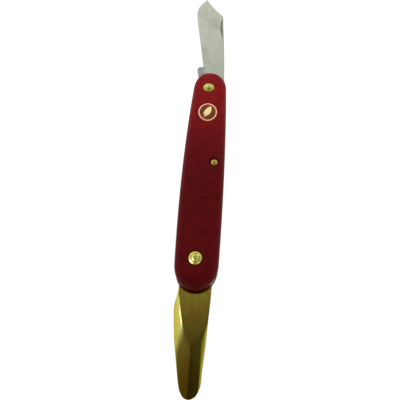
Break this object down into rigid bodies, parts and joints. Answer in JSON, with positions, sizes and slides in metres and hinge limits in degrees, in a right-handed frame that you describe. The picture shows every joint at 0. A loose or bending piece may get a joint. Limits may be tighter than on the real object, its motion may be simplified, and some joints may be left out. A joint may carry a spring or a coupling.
{
  "type": "folding grafting knife",
  "caption": "Slim folding grafting knife: a clipped steel budding blade at one end and a brass bark lifter at the other, in a rounded red handle with brass rivets.",
  "frame": {"origin": "centre of the handle's length and width, on the flat outer face of the back scale", "axes": "+Y along the handle towards the blade's end, +X towards the back spring, +Z through the thickness towards the front scale with the badge"},
  "size_m": [0.0182, 0.192, 0.012],
  "materials": {
    "red_nylon": "fine matte moulded nylon",
    "badge_enamel": "smooth inlaid enamel",
    "liner_brass": "rolled sheet",
    "spring_steel": "ground",
    "blade_steel": "fine satin grind",
    "lifter_brass": "satin, faceted",
    "rivet_brass": "polished"
  },
  "bodies": {
    "handle": {"front_scale": "red_nylon", "back_scale": "red_nylon", "badge": "badge_enamel", "front_liner": "liner_brass", "back_liner": "liner_brass", "back_spring": "spring_steel", "blade_pivot_pin": "rivet_brass", "blade_pivot_rosette_front": "rivet_brass", "blade_pivot_rosette_back": "rivet_brass", "lifter_pivot_pin": "rivet_brass", "lifter_pivot_rosette_front": "rivet_brass", "lifter_pivot_rosette_back": "rivet_brass", "spring_pin": "rivet_brass"},
    "blade": {"blade": "blade_steel"},
    "bark_lifter": {"bark_lifter": "lifter_brass"}
  },
  "joints": [
    {"name": "blade_fold", "type": "hinge", "parent": "handle", "child": "blade", "pos_m": [-0.0004, 0.0396, 0.0055], "axis": [0, 0, 1], "range_deg": [0, 172], "deforming": ["back_spring"]},
    {"name": "lifter_fold", "type": "hinge", "parent": "handle", "child": "bark_lifter", "pos_m": [-0.0004, -0.0396, 0.0055], "axis": [0, 0, -1], "range_deg": [0, 172], "deforming": ["back_spring"]}
  ]
}
